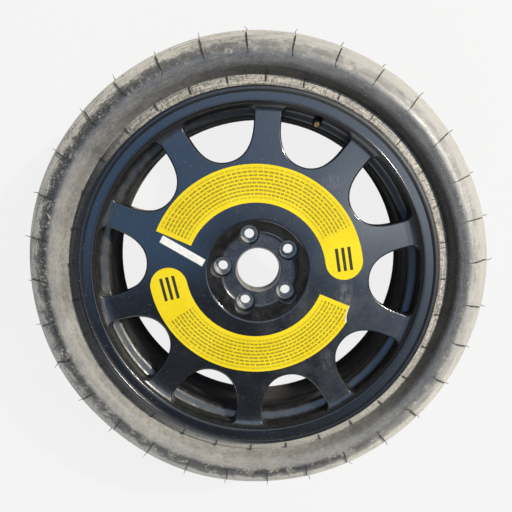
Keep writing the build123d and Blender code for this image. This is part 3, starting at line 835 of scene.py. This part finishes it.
class Solid:
    """Vertices and faces gathered into one mesh."""

    def __init__(self):
        self.verts = []
        self.faces = []

    def join(self, rings, closed):
        """Faces between rings of equal length, back to the first ring where closed."""
        base, count = len(self.verts), len(rings[0])
        for ring in rings:
            self.verts.extend(ring)
        for i in range(len(rings) if closed else len(rings) - 1):
            here = base + i * count
            there = base + (i + 1) % len(rings) * count
            for j in range(count):
                k = (j + 1) % count
                self.faces.append((here + j, here + k, there + k, there + j))

    def tube(self, rings):
        """Tube through rings of equal length, with closed ends."""
        first, count = len(self.verts), len(rings[0])
        self.join(rings, False)
        last = first + (len(rings) - 1) * count
        self.faces.append(tuple(first + j for j in reversed(range(count))))
        self.faces.append(tuple(last + j for j in range(count)))

    def object(self, name, material, smooth_angle=0.7):
        """The mesh as a piece that rides on the wheel, with its faces turned outward."""
        mesh = bpy.data.meshes.new(name)
        mesh.from_pydata([tuple(v) for v in self.verts], [], self.faces)
        mesh.validate()
        outward = bmesh.new()
        outward.from_mesh(mesh)
        bmesh.ops.recalc_face_normals(outward, faces=outward.faces)
        outward.to_mesh(mesh)
        outward.free()
        mesh.materials.append(material)
        mesh.polygons.foreach_set("use_smooth", [True] * len(mesh.polygons))
        mesh.set_sharp_from_angle(angle=smooth_angle)
        made = bpy.data.objects.new(name, mesh)
        scene.collection.objects.link(made)
        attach(made, "wheel")
        return made


def radial(angle):
    """Direction away from the wheel's axis."""
    return Vector((math.cos(angle), math.sin(angle), 0.0))


def sideways(angle):
    """Direction round the wheel."""
    return Vector((-math.sin(angle), math.cos(angle), 0.0))


def circle(centre, u, v, radius, sides):
    """Points of a circle in the plane of two directions."""
    angles = [2 * math.pi * j / sides for j in range(sides)]
    return [centre + u * (radius * math.cos(a)) + v * (radius * math.sin(a)) for a in angles]


def ramp(value, start, width):
    """0 up to start and 1 beyond its width."""
    return min(1.0, max(0.0, (value - start) / width))


def waves(rows, angle):
    """Sum of waves round the wheel."""
    return sum(size * math.sin(count * angle + phase) for size, count, phase in rows)


def make_profile():
    """The tyre's outside with its corners rounded."""
    corners = [(radius, height) for radius, height, _ in TYRE_CORNERS]
    roundings = [rounding for _, _, rounding in TYRE_CORNERS[1:-1]]
    return Profile(rounded_line(corners, roundings, CORNER_STEPS))


def on_tyre(point, angle, side):
    """A (radius, height) point of the profile on the slack tyre, in front or behind."""
    slack = ramp(point.x, WAVE_START, WAVE_WIDTH)
    sag = SAG_SINE * math.sin(angle) + SAG_COSINE * math.cos(angle) + SAG_ALL_ROUND
    sag += SAG_DOUBLE_SINE * math.sin(2 * angle) + SAG_DOUBLE_COSINE * math.cos(2 * angle)
    radius = point.x + slack * waves(RADIUS_WAVES, angle) + ramp(point.x, SLACK_START, SLACK_WIDTH) * sag
    height = point.y + slack * (waves(HEIGHT_WAVES, angle) if side > 0 else -BACK_DROP)
    return radial(angle) * radius + UP * (TYRE_MIDDLE + side * height)


def folded_tyre(material):
    """The deflated tyre with its sidewalls folded in, as one closed skin over the plain CAD ring."""
    front = make_profile().points
    floor = TYRE_RADIUS - GROOVE_DEPTH
    tread = []
    for centre in (GROOVE_SPACING, 0.0, -GROOVE_SPACING):
        top, foot = centre + GROOVE_WIDTH / 2, centre - GROOVE_WIDTH / 2
        tread += [Vector((TYRE_RADIUS, top)), Vector((floor, top - GROOVE_TAPER))]
        tread += [Vector((floor, foot + GROOVE_TAPER)), Vector((TYRE_RADIUS, foot))]
    outline = [(p, 1) for p in front + tread] + [(p, -1) for p in reversed(front)]
    angles = [2 * math.pi * k / TYRE_STEPS for k in range(TYRE_STEPS)]
    solid = Solid()
    solid.join([[on_tyre(p, angle, side) for p, side in outline] for angle in angles], True)
    tyre = solid.object("folded_tyre", material)
    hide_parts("tyre")


def rib(solid, profile, angle, side, start, end, height, lean=0.0):
    """A low moulded rib along the tyre's profile, tapered at both ends."""
    rings = []
    for i in range(RIB_STEPS + 1):
        t = i / RIB_STEPS
        length = start + (end - start) * t
        turn = angle + lean * t
        taper = min(1.0, 5 * t + 0.12, 5 * (1 - t) + 0.12)
        flat = profile.at(length)
        base = on_tyre(flat, turn, side)
        up = on_tyre(flat + profile.normal(length), turn, side) - base
        across = sideways(turn) * (RIB_WIDTH * (0.5 + 0.5 * taper))
        top = base + up * (height * taper)
        root = base - up * RIB_ROOT
        rings.append([root - across * 0.5, top - across * 0.28, top + across * 0.28, root + across * 0.5])
    solid.tube(rings)


def hair(solid, base, direction, side_way, length, bend):
    """A thin tapering rubber hair left by a mould vent."""
    direction = direction.normalized()
    side_way = (side_way - direction * side_way.dot(direction)).normalized()
    third = direction.cross(side_way)
    rings = []
    for i in range(HAIR_STEPS + 1):
        t = i / HAIR_STEPS
        centre = base + direction * (length * t - HAIR_ROOT) + side_way * (bend * length * t * t)
        size = HAIR_THICK / 2 * (1.0 - HAIR_TAPER * t)
        rings.append(circle(centre, side_way, third, size, HAIR_SIDES))
    solid.tube(rings)


def tyre_ribs(material):
    """Moulded ribs on both sides and vent hairs on the front."""
    dice = random.Random(RIB_SEED)
    profile = make_profile()
    crest = profile.beyond(CREST_RADIUS)
    side_end = profile.beyond(SIDE_END_RADIUS)
    edge = profile.beyond(EDGE_RADIUS)
    ridge_start = profile.beyond(RIDGE_START_RADIUS)
    ridge_end = profile.beyond(RIDGE_END_RADIUS)
    ribs, hairs = Solid(), Solid()
    pitch = 2 * math.pi / RIB_COUNT
    for k in range(RIB_COUNT):
        outer = OUTER_RIB_TURN + pitch * k + dice.uniform(-RIB_TURN_SPREAD, RIB_TURN_SPREAD)
        inner = INNER_RIB_TURN + pitch * k + dice.uniform(-RIB_TURN_SPREAD, RIB_TURN_SPREAD)
        for side in (1, -1):
            lean = dice.uniform(-RIB_LEAN_SPREAD, RIB_LEAN_SPREAD)
            rib(ribs, profile, outer, side, crest, side_end, OUTER_RIB_HEIGHT, lean)
            rib(ribs, profile, inner, side, ridge_start, ridge_end, INNER_RIB_HEIGHT)

        # Hairs at the tread's edge, on the crest and beside the ridge
        around = sideways(outer)
        base = on_tyre(profile.at(edge), outer, 1)
        way = radial(outer) + UP * dice.uniform(0.1, 0.5) + around * dice.uniform(-0.3, 0.3)
        hair(hairs, base, way, around, dice.uniform(5, 8.5) * MM, dice.uniform(-0.5, 0.5))
        base = on_tyre(profile.at(crest), outer, 1)
        way = UP * 0.55 - radial(outer) + around * dice.uniform(-0.6, 0.6)
        hair(hairs, base, way, around, dice.uniform(4.5, 8) * MM, dice.uniform(-0.4, 0.4))
        around = sideways(inner)
        base = on_tyre(profile.at(ridge_end), inner, 1)
        way = UP * 0.35 + radial(inner) + around * dice.uniform(-0.35, 0.35)
        hair(hairs, base, way, around, dice.uniform(5, 8) * MM, dice.uniform(-0.4, 0.4))
    ribs.object("tyre_ribs", material)
    hairs.object("tyre_hairs", material)


def flange_edges(material):
    """Smooth round edges on the front flange, over the plain roundings: inner edge, lip and nose."""
    solid = Solid()
    for radius, height, size in FLANGE_ROUNDS:
        rings = []
        for k in range(FLANGE_STEPS):
            out = radial(2 * math.pi * k / FLANGE_STEPS)
            rings.append(circle(out * radius + UP * height, out, UP, size, FLANGE_SIDES))
        solid.join(rings, True)
    solid.object("flange_edges", material)


def valve_frame():
    """The valve's seat on the rim, its axis and two directions across it."""
    out = radial(VALVE_TURN)
    aside = sideways(VALVE_TURN)
    axis = UP * math.cos(VALVE_SLOPE) - out * math.sin(VALVE_SLOPE)
    seat = out * VALVE_RADIUS + UP * VALVE_HEIGHT
    return seat, axis, aside, axis.cross(aside)


def core_coil(material):
    """The valve core's spring, built at one length; the real spring shortens as its pin is pressed."""
    seat, axis, aside, across = valve_frame()
    foot = seat + axis * SPRING_FLOOR
    start = WIRE_RADIUS + COIL_CLEARANCE
    rise = SPRING_LENGTH - 2 * start
    count = int(COIL_TURNS * COIL_STEPS)
    rings = []
    for i in range(count + 1):
        a = 2 * math.pi * i / COIL_STEPS
        out = aside * math.cos(a) + across * math.sin(a)
        centre = foot + out * COIL_RADIUS + axis * (start + rise * i / count)
        rings.append(circle(centre, out, axis, WIRE_RADIUS, COIL_SIDES))
    solid = Solid()
    solid.tube(rings)
    spring = solid.object("core_coil", material)
    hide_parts("core_spring")
    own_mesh(spring)


def stem_thread(material):
    """Thread on the valve stem's bare end, as a closed sleeve over the plain CAD cylinder."""
    seat, axis, aside, across = valve_frame()
    rows = []
    for i in range(2 * THREAD_TEETH + 1):
        rows.append((THREAD_START + THREAD_PITCH * i / 2, THREAD_CREST if i % 2 else THREAD_ROOT))
    inside = THREAD_ROOT * THREAD_INSIDE
    rows += [(rows[-1][0], inside), (rows[0][0], inside)]
    rings = [circle(seat + axis * level, aside, across, size, THREAD_SIDES) for level, size in rows]
    solid = Solid()
    solid.join(rings, True)
    solid.object("stem_thread", material, THREAD_SHARP)


# Colours of the stage
FLOOR_GREY = (0.82, 0.82, 0.82)
FLOOR_GLOW = (0.913, 0.913, 0.913)
STUDIO_GREY = (0.20, 0.20, 0.20)
SOFT_SKY = (0.36, 0.44, 0.56)
MIRRORED_BLUE = (0.48, 0.95, 1.75)
MIRRORED_WHITE = (1.75, 2.10, 2.60)
PATCH_WHITE = (4.2, 4.6, 5.0)
CARD_BLACK = (0.05, 0.05, 0.05)
BACKDROP_GREY = (0.90, 0.90, 0.90)


def make_floor(height):
    """Plain pale floor that keeps the object's shadow, also in what the wheel mirrors of it."""
    mesh = bpy.data.meshes.new("floor")
    corners = [(x * FLOOR_SIZE, y * FLOOR_SIZE, height) for x, y in ((-1, -1), (1, -1), (1, 1), (-1, 1))]
    mesh.from_pydata(corners, [], [(0, 1, 2, 3)])
    floor = bpy.data.objects.new("floor", mesh)
    scene.collection.objects.link(floor)
    material = bpy.data.materials.new("floor")
    material.use_nodes = True
    tree = material.node_tree
    s = Shader(tree)
    x, y, _ = s.split(s.point)
    radius, _ = s.polar(x, y)
    diffuse = tree.nodes.new("ShaderNodeBsdfDiffuse")
    diffuse.inputs["Color"].default_value = (*FLOOR_GREY, 1)
    glow = tree.nodes.new("ShaderNodeEmission")
    glow.inputs["Color"].default_value = (*FLOOR_GLOW, 1)
    path = tree.nodes.new("ShaderNodeLightPath").outputs
    mirrored = s.mul(path["Is Glossy Ray"], s.step(radius, 0.33, 0.45))
    seen = s.most(path["Is Camera Ray"], path["Is Transmission Ray"], mirrored)
    mix = tree.nodes.new("ShaderNodeMixShader")
    tree.links.new(s.mul(seen, FLOOR_GLOW_SHARE), mix.inputs[0])
    tree.links.new(diffuse.outputs[0], mix.inputs[1])
    tree.links.new(glow.outputs[0], mix.inputs[2])
    out = tree.nodes.new("ShaderNodeOutputMaterial")
    tree.links.new(mix.outputs[0], out.inputs["Surface"])
    mesh.materials.append(material)


def make_world():
    """A dim studio with a wide blue softbox and a dark card overhead, and a pale backdrop."""
    world = bpy.data.worlds.new("world")
    scene.world = world
    world.use_nodes = True
    tree = world.node_tree
    s = Shader(tree)
    x, y, z = s.split(s.direction)
    path = tree.nodes.new("ShaderNodeLightPath").outputs
    mirror = path["Is Glossy Ray"]

    # Softbox, brighter towards the key lamp in what the wheel mirrors
    sunward = s.step(s.add(s.mul(x, 0.85), s.mul(y, 0.53)), -0.16, 0.30)
    mirrored_sky = s.mix(sunward, MIRRORED_BLUE, MIRRORED_WHITE)
    soft = s.mix(mirror, SOFT_SKY, mirrored_sky)
    colour = s.mix(s.step(z, 0.74, 0.88), STUDIO_GREY, soft)
    patch = s.mul(s.spot(x, y, (0.235, -0.03), (0.075, 0.075), 0.7), mirror, s.step(z, 0.0, 0.1))
    colour = s.mix(s.mul(patch, 0.75), colour, PATCH_WHITE)

    # Dark card
    card = s.mul(s.step(y, -0.12, -0.20), s.scale_range(s.step(x, 0.08, 0.26), 1.0, 0.45))
    card = s.mul(s.most(card, s.spot(x, y, (0.0, -0.12), (0.10, 0.085), 0.4)), s.step(z, 0.6, 0.75))
    colour = s.mix(s.mul(card, 0.92), colour, CARD_BLACK)

    # Backdrop
    seen = s.mul(s.most(path["Is Camera Ray"], path["Is Transmission Ray"]), s.step(z, 0.58, 0.42))
    mirrored = s.mul(mirror, s.step(z, 0.12, 0.03))
    colour = s.mix(s.most(seen, mirrored), colour, BACKDROP_GREY)
    background = tree.nodes.new("ShaderNodeBackground")
    tree.links.new(colour, background.inputs["Color"])
    out = tree.nodes.new("ShaderNodeOutputWorld")
    tree.links.new(background.outputs[0], out.inputs["Surface"])


def make_lamp(name, azimuth, elevation, distance, size, power, colour):
    """A soft square lamp aimed at the wheel."""
    data = bpy.data.lights.new(name, "AREA")
    data.shape = "SQUARE"
    data.size = size
    data.energy = power
    data.color = colour
    lamp = bpy.data.objects.new(name, data)
    scene.collection.objects.link(lamp)
    a, e = math.radians(azimuth), math.radians(elevation)
    way = Vector((math.cos(e) * math.cos(a), math.cos(e) * math.sin(a), math.sin(e)))
    lamp.location = way * distance
    lamp.rotation_euler = way.to_track_quat("Z", "Y").to_euler()


def dress(node, material):
    """Give a CAD node its material."""
    mesh = nodes[node].data
    mesh.materials.clear()
    mesh.materials.append(material)


make_camera()
make_world()
make_floor(cad_low.z - FLOOR_GAP)
for lamp in LAMPS:
    make_lamp(*lamp)
scene.view_settings.view_transform = "Standard"

paint = paint_material()
rubber = tyre_material()
brass = brass_material()
steel = steel_material()
upper_yellow = label_material("upper_yellow", (-3.1 * MM, -2.0 * MM), 27, 154, 9.0)
lower_yellow = label_material("lower_yellow", (-4.0 * MM, 5.6 * MM), 212, 335, 193.5, 337.8)

dress("wheel_rim", paint)
dress("tyre", rubber)
for node in ("valve_rubber", "core_seal"):
    dress(node, valve_rubber_material())
for node in ("valve_stem", "core_body", "core_pin"):
    dress(node, brass)
dress("core_spring", steel)
dress("upper_label", upper_yellow)
dress("lower_label", lower_yellow)
dress("white_label", strip_material())

folded_tyre(rubber)
tyre_ribs(valve_rubber_material())
stem_thread(brass)
core_coil(steel)
flange_edges(paint)
